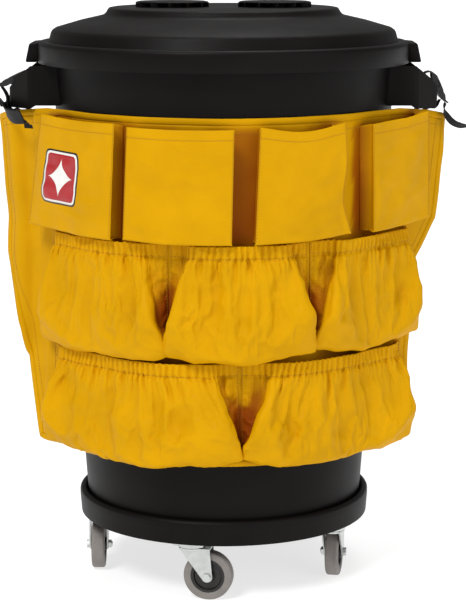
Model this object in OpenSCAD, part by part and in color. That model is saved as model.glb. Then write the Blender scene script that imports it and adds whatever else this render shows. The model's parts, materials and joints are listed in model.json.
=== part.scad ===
// Round waste container on a five-caster dolly, with a lid and a strap-on pocket apron.
// Origin: on the floor, under the container's centre line. +Z up, the pockets face -Y.

/* [Dolly] */
// Outer radius of the dolly's rim
dolly_r = 233; // [232:1:240]
// Height of the rim's bottom edge above the floor
dolly_bottom_z = 92; // [92:1:96]
// Height of the rim's top edge above the floor
dolly_top_z = 130.5; // [126:0.5:134]
// Height of the floor of the tray, where the container stands
tray_z = 107.7; // [106:0.1:110]

/* [Casters] */
// Number of casters, evenly spaced
caster_count = 5; // [5:1:5]
// Radius of the circle that the kingpins stand on
caster_circle_r = 202; // [190:1:203]
// Turn of the first caster from the front
caster_start = -13.9; // [-36:0.1:36]
// Direction in which each wheel trails, from +X, anticlockwise
trail_angles = [-11, 79.6, 62, 118, -90];
// Wheel radius
wheel_r = 38; // [36:0.5:38]
// Distance from the kingpin to the axle, seen from above
trail = 26.5; // [24:0.5:27]
// Width of the tyre
tyre_w = 21; // [19:0.5:21]
// Radius of the wheel's core
core_r = 26.4; // [25:0.1:28]

/* [Container] */
// Outer radius of the wall at the height of the pockets' top
wall_top_r = 263.5; // [262:0.5:264]
// How much the wall's radius grows for each millimetre of height
wall_taper = 0.0713; // [0.07:0.0001:0.072]
// Wall thickness
wall_t = 4; // [3:0.5:5]
// Height of the container's rim above the floor
rim_z = 840.6; // [840:0.1:840.6]

/* [Lid] */
// Outer radius of the lid's lip
lid_r = 290; // [290:0.5:293]
// Height of the raised middle of the lid above the floor
lid_top_z = 896.3; // [892:0.1:900]
// Height of the finger grips above the middle of the lid
grip_h = 10; // [8:0.5:12]

/* [Bag] */
// Height of the apron's bottom edge
bag_bottom_z = 226; // [220:1:230]
// Height of the apron's top edge
bag_top_z = 737; // [735:1:739]
// Gap between the container's wall and the apron
bag_gap = 2.5; // [2:0.1:4]
// Thickness of the apron's fabric, lining and binding together
panel_t = 1.6; // [1.2:0.1:2]
// Thickness of a pocket's fabric, as a simple shell
pocket_t = 2; // [1.6:0.1:2.4]
// How far the top row of pockets stands off the apron
flat_depth = 30; // [24:1:34]
// How far the gathered pouches stand off the apron at their fullest
belly_depth = 56; // [44:1:58]
// How far the elastic mouth of a pouch stands off the apron
mouth_depth = 17; // [15:1:20]

/* [Straps] */
// Width of the webbing
web_w = 25; // [24:1:25]
// Thickness of the webbing
web_t = 1.6; // [1.4:0.1:1.8]

/* [Hidden] */
$fn = 96;
CASTERS = [for (i = [1:caster_count]) i];

PLASTIC = "#26221f";
RUBBER = "#8b817c";
ZINC = "#c9cfd0";
FABRIC = "#e3a800";
WEBBING = "#121011";

// Heights of the caster's layers, from the wheel up
axle_z = wheel_r;
crown_z = 80;
crown_t = 2.5;
race_z = 84.1;
top_race_z = 88.9;
plate_z = 90;
plate_t = 3;
plate_half = 25;
screw_half = 19;
kingpin_r = 6;
axle_r = 3.97;
bore_r = 4.05;
core_half = 12.7;
fork_half = 13;
fork_t = 2.2;
ball_r = 2.3;
ball_circle_r = 13;
ball_count = 12;

// Container and lid
wall_ref_z = 738;
base_z = tray_z + 0.3;
base_corner_r = 25;
rim_r = 282;
lip_bottom_z = 812;
lid_t = 3.5;
rim_play = 0.4;
tab_half = 38;

// Handles: loops in plan, a band in height
handle_x = 332;
handle_half = 86;
handle_t = 5;
grip_half = 46;
grip_top_z = 764;

// Buckles: [x, y, z of the middle, lean below the horizontal]
buckle_right = [335, -25, 772.8, 66.9];
buckle_left = [327, -25, 786, 26.2];
buckle_w = 33;

// Seams of the pockets along the apron, from its middle: left and right, at the top and at the bottom
top_seams = [
    [[-309, -147], [-346, -157]], [[-134, 17], [-140, 12]], [[48, 176], [41, 189]],
    [[227, 371], [234, 376]]];
top_z = [566, 733];
middle_seams = [[-320, -82], [-78, 130], [134, 354]];
middle_z = [394, 560];
bottom_seams = [[-316, 23], [27, 332]];
bottom_z = [bag_bottom_z + 0.5, 381];
// The apron's side edges, as [height, distance along the apron from its middle]
left_edge = [[226, 342], [394, 381], [513, 424], [740, 440]];
right_edge = [[226, 336], [370, 346], [500, 362], [570, 422], [740, 438]];
band_h = 24;

function wall_r(z) = wall_top_r + (z - wall_ref_z) * wall_taper;
function lerp(a, b, t) = a + (b - a) * t;
function clamp01(t) = min(1, max(0, t));
function smooth(t) = let (c = clamp01(t)) c * c * (3 - 2 * c);
function arc(cx, cy, r, a0, a1, n = 8) =
    [for (i = [0:n]) let (a = lerp(a0, a1, i / n)) [cx + r * cos(a), cy + r * sin(a)]];

// ---- The apron's shape: it hugs the wall at the front and leaves it on a tangent at each side ----

// Angle from the front at which the apron leaves the wall
function leave_angle(z) = lerp(40, 49, clamp01((z - bag_bottom_z) / (top_z[0] - bag_bottom_z)));

// A point of the apron: s along it from the middle, z up, n outwards from its back face
function on_bag(s, z, n = 0) =
    let (side = s < 0 ? -1 : 1, a = abs(s), r = wall_r(z) + bag_gap)
    let (leave = leave_angle(z), hug = r * leave * PI / 180)
    let (turn = a <= hug ? a / r * 180 / PI : leave, run = max(0, a - hug))
    [side * ((r + n) * sin(turn) + run * cos(leave)), -(r + n) * cos(turn) + run * sin(leave), z];

// A closed shell between two grids of points, each with nu + 1 by nv + 1 points, row by row
module shell(outer, inner, nu, nv) {
    w = nu + 1;
    k = w * (nv + 1);
    faces = concat(
        [for (j = [0:nv - 1]) for (i = [0:nu - 1]) let (p = j * w + i)
            each [[p, p + w, p + w + 1], [p, p + w + 1, p + 1]]],
        [for (j = [0:nv - 1]) for (i = [0:nu - 1]) let (p = k + j * w + i)
            each [[p, p + w + 1, p + w], [p, p + 1, p + w + 1]]],
        [for (i = [0:nu - 1]) each [[i, i + 1, k + i + 1], [i, k + i + 1, k + i]]],
        [for (i = [0:nu - 1]) let (p = nv * w + i) each [[p + 1, p, k + p], [p + 1, k + p, k + p + 1]]],
        [for (j = [0:nv - 1]) let (p = j * w) each [[p + w, p, k + p], [p + w, k + p, k + p + w]]],
        [for (j = [0:nv - 1]) let (p = j * w + nu) each [[p, p + w, k + p + w], [p, k + p + w, k + p]]]);
    polyhedron(points = concat(outer, inner), faces = faces, convexity = 8);
}

module bag_panel() {
    nu = 44;
    nv = 15;
    function point(i, j, n) =
        let (z = lerp(bag_bottom_z, bag_top_z, j / nv))
        on_bag(lerp(-lookup(z, left_edge), lookup(z, right_edge), i / nu), z, n);
    color(FABRIC) shell([for (j = [0:nv]) for (i = [0:nu]) point(i, j, panel_t)],
        [for (j = [0:nv]) for (i = [0:nu]) point(i, j, 0)], nu, nv);
}

// Where the pockets' edges meet the apron
pocket_base = panel_t + 0.8;

// One pocket of the top row: a flat front with side gussets and a floor, open at the top
module flat_pocket(seams, heights) {
    fold = 4;
    nu = 10;
    nv = 6;
    width = seams[0][1] - seams[0][0];
    height = heights[1] - heights[0];
    us = concat([0], [for (i = [0:nu - 2]) lerp(fold / width, 1 - fold / width, i / (nu - 2))], [1]);
    vs = concat([0], [for (j = [0:nv - 1]) lerp(fold / height, 1, j / (nv - 1))]);
    function side(k, j) = lerp(seams[1][k], seams[0][k], vs[j]);
    function depth(i, j, cut) = (i == 0 || i == nu || j == 0) ? 0 : flat_depth - cut;
    function grid(cut) = [for (j = [0:nv]) for (i = [0:nu])
        on_bag(lerp(side(0, j) + cut, side(1, j) - cut, us[i]), lerp(heights[0] + cut, heights[1], vs[j]),
            pocket_base + depth(i, j, cut))];
    shell(grid(0), grid(pocket_t), nu, nv);
}

// How far a pouch stands off at u across and v up: a full belly low down, and a narrow mouth
function belly(u, v) =
    let (across = pow(1 - pow(abs(2 * u - 1), 6), 0.5), rise = pow(clamp01(v / 0.3), 0.5))
    let (fall = smooth((v - 0.22) / 0.7))
    across * rise * lerp(belly_depth, mouth_depth, fall);

module pouch(seams, heights) {
    nu = 20;
    nv = 12;
    function grid(cut) = [for (j = [0:nv]) for (i = [0:nu])
        on_bag(lerp(seams[0] + cut, seams[1] - cut, i / nu), lerp(heights[0] + cut, heights[1], j / nv),
            pocket_base + max(0, belly(i / nu, j / nv) - cut))];
    shell(grid(0), grid(pocket_t), nu, nv);
}

// The elastic that gathers a pouch's mouth, lying against the inside of its hem
module elastic(seams, heights) {
    nu = 16;
    inset = 26;
    t = 1;
    width = seams[1] - seams[0];
    function grid(cut) = [for (j = [0:1]) for (i = [0:nu])
        let (s = lerp(seams[0] + inset, seams[1] - inset, i / nu), u = (s - seams[0]) / width)
        on_bag(s, heights[1] - 5 - band_h * (1 - j), pocket_base + belly(u, 1) - pocket_t - 1.2 - cut)];
    shell(grid(0), grid(t), nu, 1);
}

module pocket_top(i) color(FABRIC) flat_pocket(top_seams[i - 1], top_z);
module pouch_middle(i) color(FABRIC) pouch(middle_seams[i - 1], middle_z);
module pouch_bottom(i) color(FABRIC) pouch(bottom_seams[i - 1], bottom_z);
module elastic_middle() color("white") for (seams = middle_seams) elastic(seams, middle_z);
module elastic_bottom() color("white") for (seams = bottom_seams) elastic(seams, bottom_z);

// ---- Dolly ----

function caster_angle(i) = caster_start + (i - 1) * 360 / caster_count;

module at_caster(i) rotate([0, 0, caster_angle(i)]) translate([0, -caster_circle_r, 0]) children();

// The caster's own frame: the wheel trails towards +X
module on_swivel(i) {
    a = caster_angle(i);
    translate([caster_circle_r * sin(a), -caster_circle_r * cos(a), 0])
        rotate([0, 0, trail_angles[i - 1]]) children();
}

module screw_places() for (x = [-1, 1]) for (y = [-1, 1])
    translate([x * screw_half, y * screw_half, 0]) children();

module dolly_deck() color(PLASTIC) difference() {
    union() {
        rotate_extrude($fn = 128) polygon(concat(
            [[0, tray_z], [0, tray_z - 5], [dolly_r - 4.5, tray_z - 5], [dolly_r - 4.3, dolly_bottom_z]],
            [[dolly_r - 2, dolly_bottom_z], [dolly_r, dolly_bottom_z + 26]],
            arc(dolly_r - 6, dolly_top_z - 6, 6, 0, 180, 10),
            [[dolly_r - 12, tray_z + 6], [dolly_r - 15, tray_z]]));
        for (i = CASTERS) at_caster(i) translate([-30, -24, plate_z + plate_t])
            cube([60, 60, tray_z - 3 - plate_z - plate_t]);
    }
    for (i = CASTERS) at_caster(i) {
        screw_places() translate([0, 0, plate_z + plate_t - 1]) cylinder(r = 2.6, h = 12);
        translate([0, 0, plate_z + plate_t - 1]) cylinder(r = 9, h = 3);
    }
}

module caster_top_plates() color(ZINC) for (i = CASTERS) at_caster(i) difference() {
    union() {
        translate([-plate_half, -plate_half, plate_z]) cube([2 * plate_half, 2 * plate_half, plate_t - 0.1]);
        translate([0, 0, top_race_z]) cylinder(r = 21, h = plate_z - top_race_z + 0.5);
        translate([0, 0, race_z - 0.5]) difference() {
            cylinder(r = 21, h = plate_z - race_z + 1);
            translate([0, 0, -1]) cylinder(r = 18.6, h = plate_z - race_z + 3);
        }
    }
    translate([0, 0, race_z - 2]) cylinder(r = kingpin_r + 0.05, h = 20);
    screw_places() translate([0, 0, plate_z - 1]) cylinder(r = 2.6, h = 12);
}

module caster_kingpins() color(ZINC) for (i = CASTERS) at_caster(i) {
    translate([0, 0, crown_z - 3.3]) cylinder(r = 9, h = 3);
    translate([0, 0, crown_z - 1]) cylinder(r = kingpin_r, h = plate_z + plate_t - crown_z + 1.4);
}

module caster_balls() color(ZINC) for (i = CASTERS) at_caster(i)
    for (k = [0:ball_count - 1]) rotate([0, 0, k * 360 / ball_count])
        translate([ball_circle_r, 0, (race_z + top_race_z) / 2]) sphere(r = ball_r, $fn = 24);

module caster_plate_screws() color(ZINC) for (i = CASTERS) at_caster(i) screw_places() {
    translate([0, 0, plate_z - 2.8]) cylinder(r = 4, h = 2.7);
    translate([0, 0, plate_z - 0.5]) cylinder(r = 2.5, h = 10.5);
}

// Points where the lines from p touch the circle of radius r about c
function touch(p, c, r, side) =
    let (d = norm(c - p), base = atan2(p[1] - c[1], p[0] - c[0]), a = base + side * acos(r / d))
    [c[0] + r * cos(a), c[1] + r * sin(a)];

module fork_leg() {
    foot = [trail, axle_z];
    foot_r = 8.3;
    back = [-17, crown_z + crown_t];
    front = [31, crown_z + crown_t];
    rotate([90, 0, 0]) linear_extrude(fork_t) difference() {
        union() {
            translate(foot) circle(r = foot_r);
            polygon([back, touch(back, foot, foot_r, 1), foot, touch(front, foot, foot_r, -1), front]);
        }
        translate(foot) circle(r = bore_r);
    }
}

module caster_fork(i) color(ZINC) on_swivel(i) difference() {
    union() {
        translate([0, -fork_half, 0]) fork_leg();
        translate([0, fork_half + fork_t, 0]) fork_leg();
        translate([-17, -fork_half - fork_t / 2, crown_z]) cube([48, 2 * fork_half + fork_t, crown_t]);
        translate([0, 0, crown_z]) cylinder(r = 20, h = crown_t);
        translate([0, 0, crown_z + 1]) cylinder(r = 17.5, h = race_z - crown_z - 1);
    }
    translate([0, 0, crown_z - 1]) cylinder(r = kingpin_r + 0.06, h = 8);
}

module caster_axle_bolt(i) color(ZINC) on_swivel(i) translate([trail, 0, axle_z]) rotate([-90, 0, 0]) {
    translate([0, 0, -fork_half - fork_t - 4.3]) cylinder(r = 6.6, h = 4.1, $fn = 6);
    translate([0, 0, -fork_half - fork_t - 1]) cylinder(r = axle_r, h = 2 * (fork_half + fork_t) + 7.5);
}

module caster_axle_nut(i) color(ZINC) on_swivel(i) translate([trail, fork_half + fork_t + 0.2, axle_z])
    rotate([-90, 30, 0]) difference() {
        cylinder(r = 6.6, h = 4.8, $fn = 6);
        translate([0, 0, -1]) cylinder(r = bore_r, h = 8);
    }

module caster_wheel_core(i) color("#191716") on_swivel(i) translate([trail, 0, axle_z]) rotate([-90, 0, 0])
    rotate_extrude() polygon([
        [bore_r, -core_half], [10, -core_half], [11, -6.5], [20.5, -6.5], [22, -9.6], [core_r - 0.1, -9.6],
        [core_r - 0.1, 9.6], [22, 9.6], [20.5, 6.5], [11, 6.5], [10, core_half], [bore_r, core_half]]);

module caster_tyre(i) color(RUBBER) on_swivel(i) translate([trail, 0, axle_z]) rotate([-90, 0, 0])
    rotate_extrude() polygon(concat(
        [[core_r, -tyre_w / 2 + 1], [core_r + 1, -tyre_w / 2]],
        arc(wheel_r - 4, -tyre_w / 2 + 4, 4, -90, 0, 6),
        arc(wheel_r - 4, tyre_w / 2 - 4, 4, 0, 90, 6),
        [[core_r + 1, tyre_w / 2], [core_r, tyre_w / 2 - 1]]));

// ---- Container and lid ----

module container_body() color(PLASTIC) {
    foot_z = base_z + base_corner_r;
    foot_r = wall_r(foot_z);
    top_r = wall_r(rim_z);
    rotate_extrude($fn = 128) polygon(concat(
        [[0, base_z]],
        arc(foot_r - base_corner_r, foot_z, base_corner_r, -90, 0, 8),
        [[top_r - 0.45, rim_z - 6], [rim_r - 3, rim_z - 4.5], [rim_r - 3, rim_z - 22], [rim_r, rim_z - 22]],
        [[rim_r, rim_z - 2], [rim_r - 2, rim_z], [top_r - wall_t, rim_z]],
        arc(foot_r - base_corner_r, foot_z, base_corner_r - wall_t, 0, -90, 8),
        [[0, base_z + wall_t]]));
}

// Plan of one handle loop, reaching out to x_out and half_w to each side
function loop_plan(x_out, half_w, r) = concat(
    [[240, -half_w]],
    arc(x_out - r - 22, -half_w + r, r, -90, -60, 3),
    arc(x_out - r, -grip_half + 4, r, -35, 0, 4),
    arc(x_out - r, grip_half - 4, r, 0, 35, 4),
    arc(x_out - r - 22, half_w - r, r, 60, 90, 3),
    [[240, half_w]]);

module handle() color(PLASTIC) difference() {
    intersection() {
        translate([0, 0, 740]) linear_extrude(75) difference() {
            polygon(loop_plan(handle_x, handle_half, 20));
            polygon(loop_plan(handle_x - handle_t, handle_half - handle_t, 16));
        }
        translate([0, 120, 0]) rotate([90, 0, 0]) linear_extrude(240) polygon([
            [230, 749.4], [288, 749.4], [296, 744.5], [handle_x + 1, 744.5], [handle_x + 1, 772],
            [321, 789], [295.5, 809.6], [230, 811]]);
    }
    // The grip is lower than the arms
    translate([300, -grip_half, grip_top_z]) cube([40, 2 * grip_half, 60]);
    // The wall of the container
    translate([0, 0, 700]) cylinder(r1 = wall_r(700) + 0.1, r2 = wall_r(850) + 0.1, h = 150, $fn = 128);
}

module container_handle_left() mirror([1, 0, 0]) handle();
module container_handle_right() handle();

// Outline of one finger grip on the lid, shrunk by cut
function grip_plan(cut) = let (r = 34) concat(
    arc(58, -14, r - cut, 180, 270, 5), arc(102, -14, r - cut, 270, 360, 5),
    arc(102, 14, r - cut, 0, 90, 5), arc(58, 14, r - cut, 90, 180, 5));

// A raised finger grip: a cap on a core, with curved fins round its side
module lid_grip() {
    translate([0, 0, lid_top_z - 1]) linear_extrude(grip_h - 1) polygon(grip_plan(14));
    translate([0, 0, lid_top_z + grip_h - 3]) linear_extrude(3) polygon(grip_plan(3));
    fins = 14;
    for (k = [0:fins - 1]) translate([80, 0, lid_top_z - 1]) rotate([0, 0, k * 360 / fins])
        intersection() {
            translate([0, -1, 0]) cube([60, 2, grip_h - 1]);
            rotate([0, 0, -k * 360 / fins]) translate([-80, 0, 0]) linear_extrude(20) polygon(grip_plan(2));
        }
}

module lid() color(PLASTIC) {
    difference() {
        union() {
            rotate_extrude($fn = 128) polygon(concat(
                [[lid_r - lid_t, lip_bottom_z], [lid_r, lip_bottom_z]],
                arc(lid_r - 7, 838, 7, 0, 90, 5),
                [[278, 845], [275, 843.5], [272.5, 846], [269, 859], [262, 865.5], [188, 884.5]],
                [[184, 887.5], [179, lid_top_z - 1.2], [176, lid_top_z], [0, lid_top_z]],
                [[0, lid_top_z - lid_t], [174.5, lid_top_z - lid_t], [180, 885.5], [185, 881.5]],
                [[259.5, 862], [265.5, 857], [268.5, rim_z + rim_play]],
                [[lid_r - lid_t - 2, rim_z + rim_play], [lid_r - lid_t, 838]]));
            for (side = [0, 1]) mirror([side, 0, 0]) {
                lid_grip();
                translate([0, tab_half, 0]) rotate([90, 0, 0]) linear_extrude(2 * tab_half) polygon([
                    [284, lip_bottom_z], [307.5, lip_bottom_z], [307.5, 813.6], [304.8, 814.6],
                    [301.8, 835], [297, 840.5], [284, 844]]);
            }
        }
        for (side = [0, 1]) mirror([side, 0, 0]) translate([0, tab_half - 3, 0]) rotate([90, 0, 0])
            linear_extrude(2 * tab_half - 6) polygon([
                [290.5, lip_bottom_z - 1], [301.8, lip_bottom_z - 1], [298.8, 833], [295.5, 837],
                [290.5, 838.4]]);
        // Room for the container's rim
        translate([0, 0, lip_bottom_z - 1]) cylinder(r = lid_r - lid_t, h = 27, $fn = 128);
        translate([0, 0, lip_bottom_z - 1])
            cylinder(r = lid_r - lid_t - 2, h = rim_z + rim_play + 1 - lip_bottom_z, $fn = 128);
    }
}

// ---- Straps and buckles ----

// A ribbon of webbing through points, each [middle, direction across it]; taper points the far end
module ribbon(route, w = web_w, t = web_t, tip = 1) {
    n = len(route) - 1;
    function unit(v) = v / norm(v);
    function along(i) = unit(route[min(n, i + 1)][0] - route[max(0, i - 1)][0]);
    function across(i) = let (a = along(i), d = route[i][1]) unit(d - a * (a * d));
    function half(i) = (i == n ? tip : 1) * w / 2;
    points = [for (i = [0:n]) let (p = route[i][0], a = across(i), o = cross(along(i), a) * t / 2)
        each [p - a * half(i) - o, p + a * half(i) - o, p + a * half(i) + o, p - a * half(i) + o]];
    // Both wide sides are split along the same diagonal, so that a twist keeps its thickness
    sides = [for (i = [0:n - 1]) for (k = [0:3])
        let (a = 4 * i + k, b = 4 * i + (k + 1) % 4)
            each k < 2 ? [[b, a, b + 4], [b + 4, a, a + 4]] : [[b, a, a + 4], [b + 4, b, a + 4]]];
    ends = [[3, 0, 2], [2, 0, 1], [4 * n + 1, 4 * n, 4 * n + 2], [4 * n + 2, 4 * n, 4 * n + 3]];
    polyhedron(points = points, faces = concat(sides, ends), convexity = 6);
}

// Across the webbing: along the apron where it is sewn on, and along Y at the handle
SEWN = [0.656, 0.755, 0];
FLAT = [0, 1, 0];
HALF = [0.3, 0.95, 0];

function flip(route) = [for (p = route) [[-p[0][0], p[0][1], p[0][2]], [-p[1][0], p[1][1], p[1][2]]]];

inner_right = [
    [[299.4, -56, 712], SEWN], [[300, -55.6, 727], SEWN], [[302, -52, 743], HALF],
    [[304, -42, 759], FLAT], [[306, -31, 775], FLAT], [[309.5, -26, 787], FLAT],
    [[315, -25, 794.6], FLAT], [[322, -25, 796.2], FLAT]];
inner_left = [
    [[299.4, -56, 712], SEWN], [[300, -55.6, 727], SEWN], [[301.5, -51, 743], HALF],
    [[301, -41, 759], FLAT], [[300.3, -30, 775], FLAT], [[300, -26, 785], FLAT],
    [[300.3, -25, 791], FLAT], [[301, -25, 796], FLAT]];
outer_right = [
    [[315.4, -35, 712], SEWN], [[315.6, -34.8, 729], SEWN], [[319.4, -31, 738.6], HALF],
    [[328.5, -28, 740.5], FLAT], [[335, -26, 745.5], FLAT], [[339, -25, 753.5], FLAT]];
outer_left = [
    [[315.4, -35, 710], SEWN], [[315.8, -34.6, 727], SEWN], [[320.5, -31.3, 738.9], HALF],
    [[330, -28.5, 740.6], FLAT], [[333.6, -27, 745.8], FLAT], [[334.2, -26, 753], FLAT],
    [[336.4, -25, 763.5], FLAT], [[344, -25, 774.5], FLAT]];
tail_right = [
    [[345.3, -25, 749.4], FLAT], [[343.6, -25, 744.5], FLAT], [[343.8, -26, 737.5], [0.1, 0.95, 0.15]],
    [[347, -27, 729.5], [0.25, 0.93, 0.2]], [[354.5, -28, 720], [0.3, 0.92, 0.2]],
    [[363, -28, 714.5], [0.25, 0.93, 0.2]], [[372, -28, 712], [0.15, 0.95, 0.2]],
    [[380, -28, 711.5], [0, 0.97, 0.15]]];
tail_left = [
    [[347.2, -25, 774], FLAT], [[341.6, -26, 763.5], FLAT], [[339.6, -31, 753], [0.15, 0.9, 0.4]],
    [[338, -50, 744], [0.3, 0.3, 0.9]], [[331.5, -75, 737], [0.45, 0, 0.89]],
    [[321, -95, 734.5], [0.5, 0, 0.87]], [[304, -116, 735.5], [0.55, 0, 0.83]]];

module strap_inner_right() color(WEBBING) ribbon(inner_right);
module strap_inner_left() color(WEBBING) ribbon(flip(inner_left));
module strap_outer_right() color(WEBBING) ribbon(outer_right);
module strap_outer_left() color(WEBBING) ribbon(flip(outer_left));
module strap_tail_right() color(WEBBING) ribbon(tail_right, tip = 0.6);
module strap_tail_left() color(WEBBING) ribbon(flip(tail_left), tip = 0.9);

// The buckle's own frame: X towards the half that slides out, Z away from the handle
module on_buckle(place) translate([place[0], place[1], place[2]]) rotate([0, place[3], 0]) children();

module across_buckle(w, points) translate([0, w / 2, 0]) rotate([90, 0, 0]) linear_extrude(w) polygon(points);

module female() color(WEBBING) difference() {
    across_buckle(buckle_w, [
        [-27, 0.5], [-20, 4.6], [-8, 5.3], [6, 5.3], [6, -5.3], [-8, -5.3], [-20, -4], [-27, -1.5]]);
    // Socket for the prongs, windows at its sides and the slot for the webbing
    translate([-15, -12.6, -3.1]) cube([30, 25.2, 6.2]);
    for (side = [-1, 1]) translate([-13, side * 16 - 6, -3.1]) cube([11, 12, 6.2]);
    translate([-23, -13.2, -8]) cube([4.5, 26.4, 16]);
}

module male() color(WEBBING) {
    difference() {
        across_buckle(buckle_w - 3, [
            [6.4, 4.6], [14, 5.2], [21, 3], [27, 5.4], [27.4, 3.8], [22, -1], [14, -4.6], [6.4, -4.6]]);
        translate([11, -13, -8]) cube([3.6, 26, 16]);
        translate([18.2, -13, -8]) cube([3.2, 26, 16]);
    }
    for (side = [-1, 1]) translate([-13, side * 10.3 - 1.9, -2.7]) cube([20, 3.8, 5.4]);
    translate([-11, -2, -2.7]) cube([18, 4, 5.4]);
}

module buckle_female_right() on_buckle(buckle_right) female();
module buckle_male_right() on_buckle(buckle_right) male();
module buckle_female_left() mirror([1, 0, 0]) on_buckle(buckle_left) female();
module buckle_male_left() mirror([1, 0, 0]) on_buckle(buckle_left) male();

// ---- Assembly ----

dolly_deck();
caster_top_plates();
caster_kingpins();
caster_balls();
caster_plate_screws();
for (i = CASTERS) {
    caster_fork(i);
    caster_axle_bolt(i);
    caster_axle_nut(i);
    caster_wheel_core(i);
    caster_tyre(i);
}
container_body();
container_handle_left();
container_handle_right();
lid();
bag_panel();
for (i = [1:4]) pocket_top(i);
for (i = [1:3]) pouch_middle(i);
for (i = [1:2]) pouch_bottom(i);
elastic_middle();
elastic_bottom();
strap_inner_left();
strap_inner_right();
strap_outer_left();
strap_outer_right();
strap_tail_left();
strap_tail_right();
buckle_female_left();
buckle_female_right();
buckle_male_left();
buckle_male_right();
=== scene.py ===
"""Cleaning caddy: a round lidded container on a caster dolly, with a strap-on apron of pockets."""
import json
import math
import random

import bpy
import numpy as np
from bpy.props import FloatProperty, FloatVectorProperty, PointerProperty, StringProperty
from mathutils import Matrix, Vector, noise


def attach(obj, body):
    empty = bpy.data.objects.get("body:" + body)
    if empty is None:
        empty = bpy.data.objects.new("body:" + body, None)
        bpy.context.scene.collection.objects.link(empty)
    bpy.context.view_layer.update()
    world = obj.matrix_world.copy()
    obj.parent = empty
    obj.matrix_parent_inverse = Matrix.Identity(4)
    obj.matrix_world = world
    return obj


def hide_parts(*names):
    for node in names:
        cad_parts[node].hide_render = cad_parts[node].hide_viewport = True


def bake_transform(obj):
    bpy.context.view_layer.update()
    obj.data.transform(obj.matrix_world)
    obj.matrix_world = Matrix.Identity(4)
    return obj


bl_info = {
    "name": "Cleaning caddy",
    "version": (1, 0, 0),
    "blender": (4, 5, 0),
    "location": "3D View > Sidebar > Caddy",
    "description": "Dresses the cleaning caddy: fabric apron, straps, moulded plastic and steel",
    "category": "Object",
}

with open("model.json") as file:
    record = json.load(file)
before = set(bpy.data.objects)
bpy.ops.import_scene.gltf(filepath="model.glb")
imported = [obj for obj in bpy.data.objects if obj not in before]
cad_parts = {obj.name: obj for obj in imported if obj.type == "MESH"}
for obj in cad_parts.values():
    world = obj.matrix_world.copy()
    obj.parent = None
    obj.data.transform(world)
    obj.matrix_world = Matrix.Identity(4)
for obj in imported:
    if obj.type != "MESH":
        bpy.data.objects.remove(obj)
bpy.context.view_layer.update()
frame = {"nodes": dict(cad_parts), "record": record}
MM = 0.001


# ---- Sizes and colours that a user would change ----

class CaddyBag(bpy.types.PropertyGroup):
    """Shape of the apron, in millimetres"""
    wall_radius: FloatProperty(name="Wall radius", description="Container's radius at the wall height",
                               default=263.5)
    wall_height: FloatProperty(name="Wall height", description="Height at which the wall radius is given",
                               default=738.0)
    wall_taper: FloatProperty(name="Wall taper", description="Growth of the radius for each mm of height",
                              default=0.0713, precision=4)
    gap: FloatProperty(name="Gap", description="From the container's wall to the apron", default=2.5)
    bottom: FloatProperty(name="Bottom", description="Height of the apron's bottom edge", default=226.0)
    top: FloatProperty(name="Top", description="Height of the apron's top edge", default=737.0)
    pocket_floor: FloatProperty(name="Pocket floor", description="Height of the flat pockets' floor",
                                default=566.0)
    leave_low: FloatProperty(name="Lower leaving angle", default=40.0,
                             description="Degrees from the front where the apron's bottom leaves the wall")
    leave_high: FloatProperty(name="Upper leaving angle", default=49.0,
                              description="The same at the height of the flat pockets")
    base: FloatProperty(name="Base", description="Stand-off at which pockets are sewn on", default=2.2)
    flat_depth: FloatProperty(name="Pocket depth", description="Stand-off of the flat pockets",
                              default=31.0)
    belly_depth: FloatProperty(name="Belly depth", description="Stand-off of the gathered pouches",
                               default=52.0)
    mouth_depth: FloatProperty(name="Mouth depth", description="Stand-off of the elastic mouths",
                               default=18.0)
    cloth: FloatProperty(name="Cloth", description="Thickness of the coated cloth", default=0.9)
    hem: FloatProperty(name="Hem", description="Width of the hem along a pocket's top", default=14.0)
    band: FloatProperty(name="Band", description="Width of the gathered band", default=21.0)
    stitch: FloatProperty(name="Stitch", description="Length of one stitch", default=3.2)


class CaddyColours(bpy.types.PropertyGroup):
    """Colours, as sRGB hex values"""
    cloth: StringProperty(name="Cloth", description="Coated nylon cloth", default="#d39b02")
    # Painted shade: the colour that cloth lying deep in a fold is darkened towards, in place of the shade
    # there
    painted_fold_shade: StringProperty(name="Folded cloth", description="Painted shade of cloth deep in a fold", default="#8f4208")
    thread: StringProperty(name="Thread", description="Sewing thread", default="#b98208")
    plastic: StringProperty(name="Plastic", description="Moulded polyethylene", default="#0f0c0b")
    webbing: StringProperty(name="Webbing", description="Polypropylene webbing", default="#0f0e0e")
    acetal: StringProperty(name="Buckles", description="Moulded acetal", default="#0d0c0c")
    rubber: StringProperty(name="Tyres", description="Thermoplastic rubber", default="#847e79")
    zinc: StringProperty(name="Zinc", description="Bright zinc plating", default="#cfd2d0")
    nylon: StringProperty(name="Wheel core", description="Moulded nylon", default="#1b1817")
    badge: StringProperty(name="Badge", description="Field of the printed badge", default="#ae1019")


class CaddyStage(bpy.types.PropertyGroup):
    """Camera and light"""
    camera: FloatVectorProperty(name="Camera", description="Place of the camera", unit="LENGTH",
                                default=(0.0149, -3.2289, 1.0210))
    pitch: FloatProperty(name="Pitch", description="Tilt below the horizontal",
                         default=math.radians(10.357), subtype="ANGLE")
    lens: FloatProperty(name="Lens", description="Focal length, mm", default=122.893)
    sky: FloatProperty(name="Sky", description="Strength of the white surroundings", default=0.26)
    key: FloatProperty(name="Key", description="Strength of the main light", default=2.0)
    fill: FloatProperty(name="Fill", description="Strength of the second light", default=0.7)
    top: FloatProperty(name="Top", description="Strength of the light from above", default=1.5)
    floor_glow: FloatProperty(name="Floor glow", description="Light that the floor gives off",
                              default=0.72)


def bag():
    """The apron's sizes"""
    return bpy.context.scene.caddy_bag


def colours():
    """The colours of the finishes"""
    return bpy.context.scene.caddy_colours


# ---- Materials ----

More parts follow.
